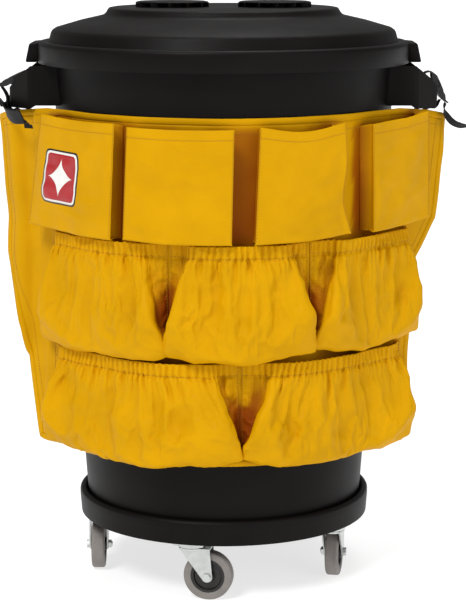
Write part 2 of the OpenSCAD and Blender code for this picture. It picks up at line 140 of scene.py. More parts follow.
def rgb(code):
    """Linear colour of an sRGB hex value"""
    parts = [int(code[i:i + 2], 16) / 255 for i in (1, 3, 5)]
    return [c / 12.92 if c <= 0.04045 else ((c + 0.055) / 1.055) ** 2.4 for c in parts] + [1.0]


def add(tree, kind, links=None, into=None, **settings):
    """Adds a node with its settings, links its inputs to outputs, and its first output into a socket"""
    node = tree.nodes.new(kind)
    for key, value in settings.items():
        if hasattr(node, key):
            setattr(node, key, value)
        else:
            node.inputs[key.replace("_", " ")].default_value = value
    for key, output in (links or {}).items():
        tree.links.new(output, node.inputs[key])
    if into is not None:
        tree.links.new(node.outputs[0], into)
    return node


def new_material(name, **shader):
    """A material with its shader and the values that are the same all over"""
    made = bpy.data.materials.new(name)
    made.use_nodes = True
    tree = made.node_tree
    tree.nodes.clear()
    bsdf = tree.nodes.new("ShaderNodeBsdfPrincipled")
    for key, value in shader.items():
        bsdf.inputs[key.replace("_", " ")].default_value = value
    out = tree.nodes.new("ShaderNodeOutputMaterial")
    tree.links.new(bsdf.outputs[0], out.inputs["Surface"])
    return made, tree, bsdf


def cloud_the_colour(tree, bsdf, vector, dark, light, scale):
    """Lets the base colour drift between two shades, in clouds of the given scale"""
    clouds = add(tree, "ShaderNodeTexNoise", {"Vector": vector}, Scale=scale, Detail=4.0)
    ramp = add(tree, "ShaderNodeValToRGB", {"Fac": clouds.outputs["Fac"]}, into=bsdf.inputs["Base Color"])
    for stop, position, colour in zip(ramp.color_ramp.elements, (0.35, 0.65), (dark, light)):
        stop.position = position
        stop.color = colour
    return clouds


def shade(code, factor):
    """A hex colour made darker or lighter, linear"""
    return [min(1.0, c * factor) for c in rgb(code)[:3]] + [1.0]


def waves(spacing):
    """Scale of a wave texture whose bands lie the given number of mm apart"""
    return 1 / (spacing * MM) / 20 * math.pi


def coated_nylon():
    """Polyurethane-coated woven nylon: a flat yellow with a faint weave, soft broad sheen, and painted shade
    deep in folds
    """
    made, tree, bsdf = new_material("coated nylon", Roughness=0.5, Specular_IOR_Level=0.05)
    code = colours().cloth
    uv = add(tree, "ShaderNodeUVMap", uv_map="cloth").outputs["UV"]
    place = add(tree, "ShaderNodeTexCoord").outputs["Object"]
    cloud_the_colour(tree, bsdf, place, shade(code, 0.93), shade(code, 1.03), 14.0)
    # Painted shade: the colour turns deeper and redder where the cloth lies deep in a fold, in place of the
    # shade there
    painted_fold_shade = add(tree, "ShaderNodeAttribute", attribute_name="painted_fold_shade")
    deep = add(tree, "ShaderNodeMix", data_type="RGBA", blend_type="MIX")
    tree.links.new(painted_fold_shade.outputs["Fac"], deep.inputs["Factor"])
    tree.links.new(bsdf.inputs["Base Color"].links[0].from_socket, deep.inputs["A"])
    deep.inputs["B"].default_value = rgb(colours().painted_fold_shade)
    tree.links.new(deep.outputs["Result"], bsdf.inputs["Base Color"])
    # Threads 1.1 mm apart, twice as coarse as the real weave, so that they show
    warp = add(tree, "ShaderNodeTexWave", {"Vector": uv}, Scale=waves(1.1), bands_direction="X")
    weft = add(tree, "ShaderNodeTexWave", {"Vector": uv}, Scale=waves(1.1), bands_direction="Y")
    weave = add(tree, "ShaderNodeMath", {0: warp.outputs["Fac"], 1: weft.outputs["Fac"]},
                operation="MULTIPLY")
    threads = add(tree, "ShaderNodeBump", {"Height": weave.outputs[0]}, Strength=0.10, Distance=0.3 * MM)
    # Small dents of the coating, 4 mm across
    dents = add(tree, "ShaderNodeTexNoise", {"Vector": place}, Scale=1 / (4 * MM), Detail=3.0)
    add(tree, "ShaderNodeBump", {"Height": dents.outputs["Fac"], "Normal": threads.outputs["Normal"]},
        into=bsdf.inputs["Normal"], Strength=0.18, Distance=0.6 * MM)
    add(tree, "ShaderNodeMapRange", {"Value": dents.outputs["Fac"]}, into=bsdf.inputs["Roughness"],
        To_Min=0.42, To_Max=0.62)
    return made


def sewing_thread():
    """Twisted polyester thread, a little darker than the cloth"""
    made, tree, bsdf = new_material("sewing thread", Roughness=0.6)
    place = add(tree, "ShaderNodeTexCoord").outputs["Object"]
    cloud_the_colour(tree, bsdf, place, shade(colours().thread, 0.8), rgb(colours().thread), 120.0)
    twist = add(tree, "ShaderNodeTexWave", {"Vector": place}, Scale=waves(0.5),
                bands_direction="DIAGONAL")
    add(tree, "ShaderNodeBump", {"Height": twist.outputs["Fac"]}, into=bsdf.inputs["Normal"],
        Strength=0.4, Distance=0.1 * MM)
    return made


def moulded_polyethylene():
    """Rotationally moulded polyethylene: near black, faintly warm, with a fine pebbled skin"""
    made, tree, bsdf = new_material("moulded polyethylene", Roughness=0.45, IOR=1.51,
                                    Specular_IOR_Level=0.1)
    code = colours().plastic
    place = add(tree, "ShaderNodeTexCoord").outputs["Object"]
    cloud_the_colour(tree, bsdf, place, shade(code, 0.75), shade(code, 1.1), 9.0)
    skin = add(tree, "ShaderNodeTexNoise", {"Vector": place}, Scale=1 / (1.3 * MM), Detail=2.0)
    pebbles = add(tree, "ShaderNodeBump", {"Height": skin.outputs["Fac"]}, Strength=0.22,
                  Distance=0.25 * MM)
    flow = add(tree, "ShaderNodeTexNoise", {"Vector": place}, Scale=1 / (70 * MM), Detail=2.0)
    add(tree, "ShaderNodeBump", {"Height": flow.outputs["Fac"], "Normal": pebbles.outputs["Normal"]},
        into=bsdf.inputs["Normal"], Strength=0.10, Distance=4 * MM)
    add(tree, "ShaderNodeMapRange", {"Value": flow.outputs["Fac"]}, into=bsdf.inputs["Roughness"],
        To_Min=0.38, To_Max=0.56)
    return made


def zinc_plate():
    """Bright zinc plating on pressed steel: silvery, with faint rolling marks"""
    made, tree, bsdf = new_material("zinc plated steel", Metallic=0.92, Roughness=0.3)
    place = add(tree, "ShaderNodeTexCoord").outputs["Object"]
    clouds = cloud_the_colour(tree, bsdf, place, shade(colours().zinc, 0.84), rgb(colours().zinc), 90.0)
    marks = add(tree, "ShaderNodeTexNoise", {"Vector": place}, Scale=1 / (0.8 * MM), Detail=3.0)
    add(tree, "ShaderNodeBump", {"Height": marks.outputs["Fac"]}, into=bsdf.inputs["Normal"],
        Strength=0.12, Distance=0.1 * MM)
    add(tree, "ShaderNodeMapRange", {"Value": clouds.outputs["Fac"]}, into=bsdf.inputs["Roughness"],
        To_Min=0.22, To_Max=0.4)
    return made


def plain_mould(name, code, grain, roughness):
    """A moulded polymer with a fine skin of the given grain, in mm"""
    made, tree, bsdf = new_material(name, Roughness=roughness, IOR=1.49)
    place = add(tree, "ShaderNodeTexCoord").outputs["Object"]
    cloud_the_colour(tree, bsdf, place, shade(code, 0.85), rgb(code), 45.0)
    skin = add(tree, "ShaderNodeTexNoise", {"Vector": place}, Scale=1 / (grain * MM), Detail=2.0)
    add(tree, "ShaderNodeBump", {"Height": skin.outputs["Fac"]}, into=bsdf.inputs["Normal"],
        Strength=0.2, Distance=0.2 * MM)
    return made


def polypropylene_webbing():
    """Flat woven webbing: black, with diagonal ribs 2.2 mm apart and a soft sheen"""
    made, tree, bsdf = new_material("polypropylene webbing", Roughness=0.6, Specular_IOR_Level=0.2)
    uv = add(tree, "ShaderNodeUVMap", uv_map="cloth").outputs["UV"]
    cloud_the_colour(tree, bsdf, uv, shade(colours().webbing, 0.7), shade(colours().webbing, 1.3), 300.0)
    ribs = add(tree, "ShaderNodeTexWave", {"Vector": uv}, Scale=waves(2.2),
               bands_direction="DIAGONAL", Distortion=1.0)
    add(tree, "ShaderNodeBump", {"Height": ribs.outputs["Fac"]}, into=bsdf.inputs["Normal"],
        Strength=0.5, Distance=0.4 * MM)
    return made


def elastic_braid():
    """Woven elastic: off-white, ribbed along its length"""
    made, tree, bsdf = new_material("woven elastic", Roughness=0.75, Sheen_Weight=0.2)
    uv = add(tree, "ShaderNodeUVMap", uv_map="cloth").outputs["UV"]
    cloud_the_colour(tree, bsdf, uv, shade("#d8d3c6", 0.85), rgb("#d8d3c6"), 150.0)
    ribs = add(tree, "ShaderNodeTexWave", {"Vector": uv}, Scale=waves(1.5), bands_direction="Y")
    add(tree, "ShaderNodeBump", {"Height": ribs.outputs["Fac"]}, into=bsdf.inputs["Normal"],
        Strength=0.5, Distance=0.3 * MM)
    return made


def printed_ink(name, code):
    """Screen-printed ink on the cloth: flat colour, a little glossier than the cloth"""
    made, tree, bsdf = new_material(name, Roughness=0.4)
    place = add(tree, "ShaderNodeTexCoord").outputs["Object"]
    cloud_the_colour(tree, bsdf, place, shade(code, 0.92), rgb(code), 60.0)
    grain = add(tree, "ShaderNodeTexNoise", {"Vector": place}, Scale=1 / (1.0 * MM), Detail=1.0)
    add(tree, "ShaderNodeBump", {"Height": grain.outputs["Fac"]}, into=bsdf.inputs["Normal"],
        Strength=0.12, Distance=0.2 * MM)
    return made


MAKERS = {
    "coated nylon": coated_nylon,
    "sewing thread": sewing_thread,
    "moulded polyethylene": moulded_polyethylene,
    "zinc plated steel": zinc_plate,
    "thermoplastic rubber": lambda: plain_mould("thermoplastic rubber", colours().rubber, 0.9, 0.62),
    "moulded nylon": lambda: plain_mould("moulded nylon", colours().nylon, 0.7, 0.42),
    "moulded acetal": lambda: plain_mould("moulded acetal", colours().acetal, 0.6, 0.3),
    "polypropylene webbing": polypropylene_webbing,
    "woven elastic": elastic_braid,
    "red ink": lambda: printed_ink("red ink", colours().badge),
    "white ink": lambda: printed_ink("white ink", "#f2f0ea"),
    "black ink": lambda: printed_ink("black ink", "#17151a"),
}


def material(name):
    """A finish by its name, made when it is first used"""
    return bpy.data.materials.get(name) or MAKERS[name]()


def dress(obj, name):
    """Gives a piece or a CAD node its material"""
    obj.data.materials.clear()
    obj.data.materials.append(material(name))


def finish(piece, name, body="container", node=None):
    """Dresses a piece and says which body it rides on and the CAD node that it replaces"""
    dress(piece, name)
    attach(piece, body)
    if node:
        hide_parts(node)


# ---- The apron's surface and sheets of cloth ----

def wall_radius(z):
    """Radius of the container's wall at a height, which widens upwards"""
    return bag().wall_radius + (z - bag().wall_height) * bag().wall_taper


def leaving_angle(z):
    """Angle from the front at which the apron leaves the wall and runs on straight"""
    rise = np.clip((z - bag().bottom) / (bag().pocket_floor - bag().bottom), 0, 1)
    return np.radians(bag().leave_low + (bag().leave_high - bag().leave_low) * rise)


def on_bag(s, z, n):
    """Points of the apron: s along it from the middle, z up, n outwards from its back"""
    s, z, n = np.broadcast_arrays(np.asarray(s, float), np.asarray(z, float), np.asarray(n, float))
    r = wall_radius(z) + bag().gap
    leave = leaving_angle(z)
    turn = np.minimum(np.abs(s) / r, leave)
    run = np.maximum(0, np.abs(s) - r * leave)
    x = (r + n) * np.sin(turn) + run * np.cos(leave)
    y = -(r + n) * np.cos(turn) + run * np.sin(leave)
    return np.stack([np.where(s < 0, -x, x), y, z], -1)


def off_bag(points):
    """The reverse of on_bag: distance along the apron, and outwards from its back"""
    x, y, z = points[..., 0], points[..., 1], points[..., 2]
    r = wall_radius(z) + bag().gap
    leave = leaving_angle(z)
    turn = np.minimum(np.arctan2(np.abs(x), -y), leave)
    run = np.abs(x) * np.cos(turn) + y * np.sin(turn)
    return np.sign(x) * (r * turn + run), np.abs(x) * np.sin(turn) - y * np.cos(turn) - r, turn


def keep_off(points, least):
    """Moves points outwards where they are less than the given distance from the apron's back"""
    _, n, turn = off_bag(points)
    push = np.maximum(0, least - n)
    moved = points.copy()
    moved[..., 0] += np.sign(points[..., 0]) * np.sin(turn) * push
    moved[..., 1] -= np.cos(turn) * push
    return moved


def spread(points, count):
    """Points spaced evenly along a line through the given ones"""
    points = np.asarray(points, float)
    steps = np.linalg.norm(np.diff(points, axis=0), axis=1)
    length = np.concatenate([[0], np.cumsum(steps)])
    at = np.linspace(0, length[-1], count)
    return np.stack([np.interp(at, length, points[:, k]) for k in range(points.shape[1])], -1)


def rounded(points, times):
    """Rounds a line's corners, keeping its ends"""
    points = points.copy()
    for _ in range(times):
        points[1:-1] = (points[:-2] + 2 * points[1:-1] + points[2:]) / 4
    return points


def normals(grid):
    """Outward directions of a sheet, of length 1"""
    across = np.gradient(grid, axis=1)
    up = np.gradient(grid, axis=0)
    n = np.cross(across, up)
    return n / np.maximum(np.linalg.norm(n, axis=-1, keepdims=True), 1e-9)


def finer(grid, rows, columns):
    """The same sheet with more points, on smooth curves through the old ones"""

    def along(values, count):
        last = len(values) - 1
        at = np.linspace(0, last, count)
        i = np.minimum(at.astype(int), last - 1)
        t = (at - i)[:, None, None]
        p0, p1 = values[np.maximum(i - 1, 0)], values[i]
        p2, p3 = values[i + 1], values[np.minimum(i + 2, last)]
        return 0.5 * (2 * p1 + (p2 - p0) * t + (2 * p0 - 5 * p1 + 4 * p2 - p3) * t ** 2
                      + (3 * p1 - p0 - 3 * p2 + p3) * t ** 3)
    tall = along(grid, rows)
    return along(tall.transpose(1, 0, 2), columns).transpose(1, 0, 2)


def noise_field(s, z, size, seed, kind="soft"):
    """Smooth noise over a sheet, with features of the given size in mm; creased noise has sharp ridges"""
    out = np.empty(s.shape)
    flat_s, flat_z, flat = s.ravel(), z.ravel(), out.ravel()
    for k in range(flat.size):
        p = Vector((flat_s[k] / size, flat_z[k] / size, seed * 7.31))
        value = noise.noise(p)
        flat[k] = value if kind == "soft" else 0.5 - abs(value) * 2
    return out


def sheet_object(name, grid):
    """A mesh from a grid of points in mm, with a map of its true size"""
    rows, columns = grid.shape[:2]
    index = np.arange(rows * columns).reshape(rows, columns)
    faces = np.stack([index[:-1, :-1], index[:-1, 1:], index[1:, 1:], index[1:, :-1]], -1).reshape(-1, 4)
    mesh = bpy.data.meshes.new(name)
    mesh.from_pydata((grid.reshape(-1, 3) * MM).tolist(), [], faces.tolist())
    across = np.linalg.norm(np.diff(grid, axis=1), axis=2).mean(0)
    up = np.linalg.norm(np.diff(grid, axis=0), axis=2).mean(1)
    u = np.concatenate([[0], np.cumsum(across)]) * MM
    v = np.concatenate([[0], np.cumsum(up)]) * MM
    flat = np.stack(np.meshgrid(u, v), -1).reshape(-1, 2)
    layer = mesh.uv_layers.new(name="cloth")
    corner = np.empty(len(mesh.loops), int)
    mesh.loops.foreach_get("vertex_index", corner)
    layer.data.foreach_set("uv", flat[corner].ravel())
    return link(name, mesh)


def activate(obj):
    """Selects one piece alone and makes it active"""
    bpy.ops.object.select_all(action="DESELECT")
    obj.select_set(True)
    bpy.context.view_layer.objects.active = obj


def link(name, mesh):
    """A new object with the given mesh, shaded smooth"""
    mesh.shade_smooth()
    obj = bpy.data.objects.new(name, mesh)
    bpy.context.scene.collection.objects.link(obj)
    return obj


def face_outwards():
    """In edit mode, turns all faces of the active piece outwards"""
    bpy.ops.mesh.select_all(action="SELECT")
    bpy.ops.mesh.normals_make_consistent(inside=False)


def apply_all(obj):
    """Applies a piece's modifiers"""
    activate(obj)
    for mod in list(obj.modifiers):
        bpy.ops.object.modifier_apply(modifier=mod.name)


def thicken(obj, thickness):
    """Gives a skin its thickness, inwards"""
    mod = obj.modifiers.new("thickness", "SOLIDIFY")
    mod.thickness = thickness * MM
    mod.offset = -1.0
    mod.use_even_offset = False
    apply_all(obj)


SHEETS = []  # cloth pieces whose folds get painted shade once all of them are made


def cloth_object(name, grid, thickness):
    """A sheet of the apron's cloth"""
    made = sheet_object(name, grid)
    thicken(made, thickness)
    SHEETS.append(made)
    return made


def settle(grid, held):
    """Lets a sheet hang by cloth simulation. held gives, from 0 to 1, how firmly each point stays put"""
    frames, growth, stiffness = 16, 0.025, 12.0
    scene = bpy.context.scene
    obj = sheet_object("settling", grid)
    group = obj.vertex_groups.new(name="held")
    for k, weight in enumerate(held.ravel()):
        if weight > 0:
            group.add([k], float(weight), "REPLACE")
    mod = obj.modifiers.new("settle", "CLOTH")
    cloth = mod.settings
    cloth.quality = 6
    cloth.mass = 0.1
    cloth.tension_stiffness = stiffness
    cloth.compression_stiffness = stiffness
    cloth.shear_stiffness = stiffness / 3
    cloth.bending_stiffness = 0.6
    cloth.air_damping = 3
    cloth.vertex_group_mass = "held"
    cloth.shrink_min = -growth
    cloth.shrink_max = -growth
    cloth.effector_weights.gravity = 0.3
    cloth.use_pressure = True
    cloth.uniform_pressure_force = 0.22
    mod.collision_settings.use_collision = False
    mod.point_cache.frame_start = 1
    mod.point_cache.frame_end = frames
    scene.frame_start, scene.frame_end = 1, frames
    for step in range(1, frames + 1):
        scene.frame_set(step)
    shape = obj.evaluated_get(bpy.context.evaluated_depsgraph_get()).to_mesh()
    co = np.empty(len(shape.vertices) * 3)
    shape.vertices.foreach_get("co", co)
    scene.frame_set(1)
    bpy.data.objects.remove(obj)
    return co.reshape(grid.shape) / MM


# ---- Seams ----

def stitches(name, lines):
    """Rows of stitches, each a small rounded bar lying on its line: [(points, outward directions)]"""
    length = bag().stitch
    gap = length * 0.45
    thick = 0.42
    ring = 6
    verts, faces = [], []
    for points, out in lines:
        steps = np.linalg.norm(np.diff(points, axis=0), axis=1)
        at = np.concatenate([[0], np.cumsum(steps)])

        def place(d, values):
            """The values at a distance along the line"""
            return np.array([np.interp(d, at, values[:, k]) for k in range(3)])
        for start in np.arange(gap, at[-1] - length, length + gap):
            p, q = place(start, points), place(start + length, points)
            up = place(start + length / 2, out)
            along = (q - p) / max(np.linalg.norm(q - p), 1e-9)
            side = np.cross(along, up)
            for t, size, lift in ((0, 0.3, -0.2), (0.2, 1, 0.15), (0.8, 1, 0.15), (1, 0.3, -0.2)):
                for k in range(ring):
                    a = 2 * math.pi * k / ring
                    offset = side * math.cos(a) * thick + up * (math.sin(a) * thick * 0.7)
                    verts.append((p + (q - p) * t + offset * size + up * lift) * MM)
            first = len(verts) - 4 * ring
            for row in range(3):
                for k in range(ring):
                    a = first + row * ring + k
                    b = first + row * ring + (k + 1) % ring
                    faces.append((a, b, b + ring, a + ring))
            faces.append(tuple(first + k for k in reversed(range(ring))))
            faces.append(tuple(first + 3 * ring + k for k in range(ring)))
    mesh = bpy.data.meshes.new(name)
    mesh.from_pydata([tuple(v) for v in verts], [], faces)
    obj = link(name, mesh)
    activate(obj)
    bpy.ops.object.mode_set(mode="EDIT")
    face_outwards()
    bpy.ops.object.mode_set(mode="OBJECT")
    finish(obj, "sewing thread")


SEAMS = []  # stitch lines that the pockets leave for the stitching operator


def seam(grid, rows=None, columns=None, lift=0.3):
    """Remembers a stitch line along a row or column of a sheet"""
    outward = normals(grid)
    line = grid[rows, :] if rows is not None else grid[:, columns]
    out = outward[rows, :] if rows is not None else outward[:, columns]
    SEAMS.append((line + out * lift, out))


# ---- Apron panel ----

# Side edges, as (height, distance along the apron), in mm
LEFT_EDGE = [(226, -342), (394, -381), (513, -424), (740, -440)]
RIGHT_EDGE = [(226, 336), (370, 346), (500, 362), (570, 422), (740, 438)]
# How far the top edge lies above its nominal height, at distances from the middle
TOP_EDGE = [(0, 0), (330, 1), (400, -6), (437, -13)]


def edge_at(z, edge):
    """How far along the apron one of its side edges lies, at a height"""
    heights, places = zip(*edge)
    return np.interp(z, heights, places)


def panel_wave(s, z):
    """Soft vertical folds of the free sides, and a slack top edge"""
    b = bag()
    high = np.clip((z - b.bottom) / (b.top - b.bottom), 0, 1)
    left = -s - 330
    right = s - 372
    valley = left - 20 - 36 * high
    n = 6 * np.clip(left / 30, 0, 1) - 17 * np.exp(-(valley / 15) ** 2) * np.clip(left / 14, 0, 1)
    n += 5 * np.exp(-((valley - 30) / 20) ** 2)
    n += 6 * np.clip((right - 20) / 40, 0, 1) ** 1.5 * high
    slack = 1.2 * np.sin(s / 41 + 0.6) + 0.8 * np.sin(s / 17 + z / 90)
    return n + slack * np.clip((high - 0.86) / 0.14, 0, 1)


class CADDY_OT_panel(bpy.types.Operator):
    """Makes the apron's back panel with its turned hem"""
    bl_idname = "caddy.panel"
    bl_label = "Apron panel"

    def execute(self, context):
        b = bag()
        rows, columns = 120, 240
        v = np.linspace(0, 1, rows)[:, None]
        u = np.linspace(0, 1, columns)[None, :]
        z = b.bottom + (b.top - b.bottom) * v + 0 * u
        s = edge_at(z, LEFT_EDGE) * (1 - u) + edge_at(z, RIGHT_EDGE) * u
        z += np.interp(np.abs(s), *zip(*TOP_EDGE)) * v ** 6
        n = np.full_like(s, b.base - b.cloth * 0.4) + panel_wave(s, z)
        n += 0.5 * noise_field(s, z, 60, 3) * np.clip((np.abs(s) - 300) / 40, 0, 1) * 6
        n = np.maximum(n, 0.4)
        grid = on_bag(s, z, n)
        panel = cloth_object("apron_panel", grid, b.cloth + 0.5)
        finish(panel, "coated nylon", node="bag_panel")
        # Its tapering sides leave 0.94 of the rectangle that it is cut from
        hem_row = int(rows * (1 - b.hem / (b.top - b.bottom)))
        seam(grid, rows=hem_row)
        seam(grid, columns=4)
        seam(grid, columns=columns - 5)
        self.binding(grid)
        return {"FINISHED"}

    def binding(self, grid):
        """A folded tape round the panel's edges"""
        ring = np.concatenate([grid[0, :], grid[1:, -1], grid[-1, -2::-1], grid[-2:0:-1, 0]])
        outward = normals(grid)
        out = np.concatenate([outward[0, :], outward[1:, -1], outward[-1, -2::-1], outward[-2:0:-1, 0]])
        inward = np.roll(ring, 1, 0) - np.roll(ring, -1, 0)
        inward /= np.linalg.norm(inward, axis=1, keepdims=True)
        inward = np.cross(inward, out)
        fold = []
        for reach, lift in ((9, 0.55), (8.6, 0.9), (4, 1.0), (0.2, 0.95), (-0.7, 0.2), (-0.9, -0.7),
                            (-0.7, -1.7), (0.2, -2.2), (4, -2.2), (9, -2.0)):
            fold.append(ring - inward * reach + out * lift)
        strip = np.array(fold)
        strip = np.concatenate([strip, strip[:, :1]], axis=1)
        finish(cloth_object("apron_binding", strip, 0.35), "coated nylon")


# ---- Flat pockets ----

class FlatPocket:
    """Corners of one flat pocket's front, as (distance along the apron, height), and its slack"""

    def __init__(self, top_left, top_right, bottom_right, bottom_left, sag=0.0, pinch=0.0, lift=0.0):
        self.top_left, self.top_right = top_left, top_right
        self.bottom_right, self.bottom_left = bottom_right, bottom_left
        self.sag, self.pinch, self.lift = sag, pinch, lift


POCKET_SEED = 3.7
FLAT_POCKETS = [
    FlatPocket((-309, 742), (-149, 738), (-157, 563), (-347, 569), sag=2),
    FlatPocket((-133, 734), (17, 733), (13, 563), (-139, 566), sag=1.5),
    FlatPocket((48, 736), (176, 738), (189, 571), (41, 563), sag=9, pinch=13),
    FlatPocket((227, 732), (370, 736), (376, 575), (234, 567), sag=-1, lift=6),
]


# Points of a flat pocket's grid: up its floor and its front, and across a gusset and its front
FLOOR_ROWS, FRONT_ROWS = 12, 56
GUSSET_POINTS, FRONT_POINTS = 18, 64


def flat_pocket_grid(pocket, seed):
    """A flat pocket's cloth. Across it: sewn edge, gusset folded inwards, front, gusset, sewn edge"""
    b = bag()
    base_in = 3
    rows = []
    for j in range(FLOOR_ROWS + FRONT_ROWS):
        if j < FLOOR_ROWS:
            k = math.sin(j / (FLOOR_ROWS - 1) * math.pi / 2) ** 0.8
            v = 0.0
        else:
            k = 1.0
            v = (j - FLOOR_ROWS + 1) / FRONT_ROWS
        left = pocket.bottom_left[0] + (pocket.top_left[0] - pocket.bottom_left[0]) * v
        right = pocket.bottom_right[0] + (pocket.top_right[0] - pocket.bottom_right[0]) * v
        right -= pocket.pinch * math.exp(-((v - 0.3) / 0.24) ** 2)
        depth = b.flat_depth * (1 - 0.12 * v)
        tuck = (7 + 5 * v) * k
        section = [(left + base_in, 0), (left + base_in + tuck * 0.7, depth * 0.36),
                   (left + base_in + tuck, depth * 0.55), (left, depth),
                   (right, depth), (right - base_in - tuck, depth * 0.55),
                   (right - base_in - tuck * 0.7, depth * 0.36), (right - base_in, 0)]
        line = rounded(np.concatenate([spread(section[:4], GUSSET_POINTS),
                                       spread(section[3:5], FRONT_POINTS)[1:-1],
                                       spread(section[4:], GUSSET_POINTS)]), 2)
        rows.append(np.concatenate([line, np.tile([k, v], (len(line), 1))], 1))
    rows = np.array(rows)
    s, n, k, v = (rows[..., i] for i in range(4))
    u = np.clip((s - s[:, :1]) / (s[:, -1:] - s[:, :1]), 0, 1)
    low = pocket.bottom_left[1] * (1 - u) + pocket.bottom_right[1] * u
    high = pocket.top_left[1] * (1 - u) + pocket.top_right[1] * u
    inside = np.clip(n / b.flat_depth, 0, 1)
    bottom = low - 1.5 * np.sin(np.pi * u) + (1 - k) * 5
    top = high - pocket.sag * np.sin(np.pi * u) ** 1.2 + pocket.lift * np.clip((u - 0.6) / 0.4, 0, 1)
    top -= (1 - inside) * 5
    z = bottom + (top - bottom) * v
    s_flat = s[:, :1] + (s[:, -1:] - s[:, :1]) * np.linspace(0, 1, s.shape[1])[None, :]
    s = s_flat + (s - s_flat) * np.clip(k * 1.15, 0, 1)
    face = np.clip((inside - 0.8) / 0.2, 0, 1)
    body = np.sin(np.pi * u) * np.sin(np.pi * np.clip(v, 0, 1) ** 0.8)
    wave = 2.0 * noise_field(s, z, 55, seed) + 1.1 * noise_field(s, z * 1.8, 24, seed + 11)
    crease = 1.3 * noise_field(s * 0.8 + z * 0.35, z - s * 0.2, 46, seed + 5, "creased")
    calm = np.clip(np.minimum(u, 1 - u) / 0.07, 0, 1)
    drape = 2.4 * np.sin(np.pi * (2.3 * u + 0.5 * np.sin(seed)) + v * 1.2) * np.clip(v, 0, 1)
    n = n * k + face * k * calm * (3.0 * body + wave * 2.0 + drape + crease * 2.0 * np.clip(v * 4, 0, 1))
    n -= face * pocket.sag * 0.8 * np.sin(np.pi * u) * np.clip((v - 0.55) / 0.45, 0, 1) ** 2
    hem = np.exp(-(((top - z) - b.hem) / 1.3) ** 2)
    n -= face * 0.55 * hem
    n += (1 - face) * k * 0.8 * noise_field(s + n, z, 22, seed + 3)
    return on_bag(s, z, b.base + n)


class CADDY_OT_flat_pockets(bpy.types.Operator):
    """Makes the four flat pockets of the top row"""
    bl_idname = "caddy.flat_pockets"
    bl_label = "Flat pockets"

    def execute(self, context):
        b = bag()
        for i, pocket in enumerate(FLAT_POCKETS, 1):
            grid = flat_pocket_grid(pocket, i * POCKET_SEED)
            made = cloth_object(f"flat_pocket_{i}", grid, b.cloth)
            finish(made, "coated nylon", node=f"pocket_top_{i}")
            height = pocket.top_left[1] - pocket.bottom_left[1]
            hem_row = grid.shape[0] - 1 - round(FRONT_ROWS * b.hem / height)
            front = grid[:, GUSSET_POINTS - 1:grid.shape[1] - GUSSET_POINTS + 1]
            seam(front, rows=hem_row)
            seam(front[FLOOR_ROWS:], columns=1)
            seam(front[FLOOR_ROWS:], columns=front.shape[1] - 2)
        return {"FINISHED"}


# ---- Gathered pouches ----

class Pouch:
    """Seams of one gathered pouch along the apron, its heights, and how far its sides tuck in"""

    def __init__(self, left, right, hem, low, tuck_left, tuck_right, hang=14.0):
        self.left, self.right, self.hem, self.low = left, right, hem, low
        self.tuck_left, self.tuck_right, self.hang = tuck_left, tuck_right, hang


MIDDLE = [
    Pouch(-320, -82, 560, 407, 22, 40, 19),
    Pouch(-78, 130, 560, 407, 30, 34, 18),
    Pouch(134, 354, 560, 410, 42, 14),
]
BOTTOM = [
    Pouch(-316, 23, 380, 240, 26, 40),
    Pouch(27, 332, 380, 240, 46, 14),
]


def pouch_section(pouch, v, count):
    """Section across a pouch, v of the way up: sewn edge, tucked side, fold, crowned front"""
    b = bag()
    full = math.sin(math.pi * min(1.0, (v + 0.22) / 0.62) * 0.5) if v < 0.4 else 1.0
    fall = min(1.0, max(0.0, (v - 0.25) / 0.7))
    fall = fall * fall * (3 - 2 * fall)
    depth = (b.belly_depth * (1 - fall) + b.mouth_depth * fall) * full
    deep = math.sin(math.pi * min(1.0, max(0.0, v)) ** 0.75) ** 0.8

    def side(edge, tuck, way):
        """The tucked side at one seam, from the seam to the front"""
        reach = tuck * (v ** 1.1) - 3 * (1 - v)
        return [(edge, 0), (edge + way * max(3, reach * 0.45), 2 + 5 * (1 - deep)),
                (edge + way * (reach * 0.9 + 4 * deep), depth * (0.5 - 0.2 * deep)),
                (edge + way * reach, depth * 0.88), (edge + way * (reach + 9), depth)]
    left = side(pouch.left, pouch.tuck_left, 1)
    right = side(pouch.right, pouch.tuck_right, -1)
    width = right[-1][0] - left[-1][0]
    front = [(left[-1][0] + width * t, depth * (1 + 0.1 * math.sin(math.pi * t)))
             for t in np.linspace(0, 1, 9)]
    line = spread(left[:-1] + front + right[-2::-1], count)
    return rounded(line, 3)


def pouch_grid(pouch, rows, columns):
    """A pouch's cloth before it hangs: up from its seam, round its rounded bottom, to its mouth"""
    # The bottom, as (share of the depth, share of the drop, how far up the section is)
    drop = [(0, 0, 0.0), (0.30, -0.55, 0.0), (0.62, -0.92, 0.0), (0.86, -1.0, 0.02), (1.0, -0.72, 0.06)]
    path = [(k, pouch.low + pouch.hang * d, v) for k, d, v in drop]
    path += [(1.0, pouch.low + (pouch.hem - pouch.low) * v, v) for v in np.linspace(0.12, 1, 12)]
    path = np.array(path)
    measure = path * [55, 1, 0]
    steps = np.concatenate([[0], np.cumsum(np.linalg.norm(np.diff(measure, axis=0), axis=1))])
    at = np.linspace(0, steps[-1], rows)
    path = np.stack([np.interp(at, steps, path[:, i]) for i in range(3)], -1)
    path = rounded(path, 2)
    grid = np.empty((rows, columns, 3))
    for j, (k, z, v) in enumerate(path):
        line = pouch_section(pouch, v, columns)
        straight = np.linspace(pouch.left, pouch.right, columns)
        s = straight + (line[:, 0] - straight) * min(1.0, k * 1.2)
        n = line[:, 1] * k
        u = np.linspace(0, 1, columns)
        corner = np.abs(2 * u - 1) ** 6
        grid[j] = on_bag(s, z + corner * (1 - v) ** 4 * 6, bag().base + n)
    return grid


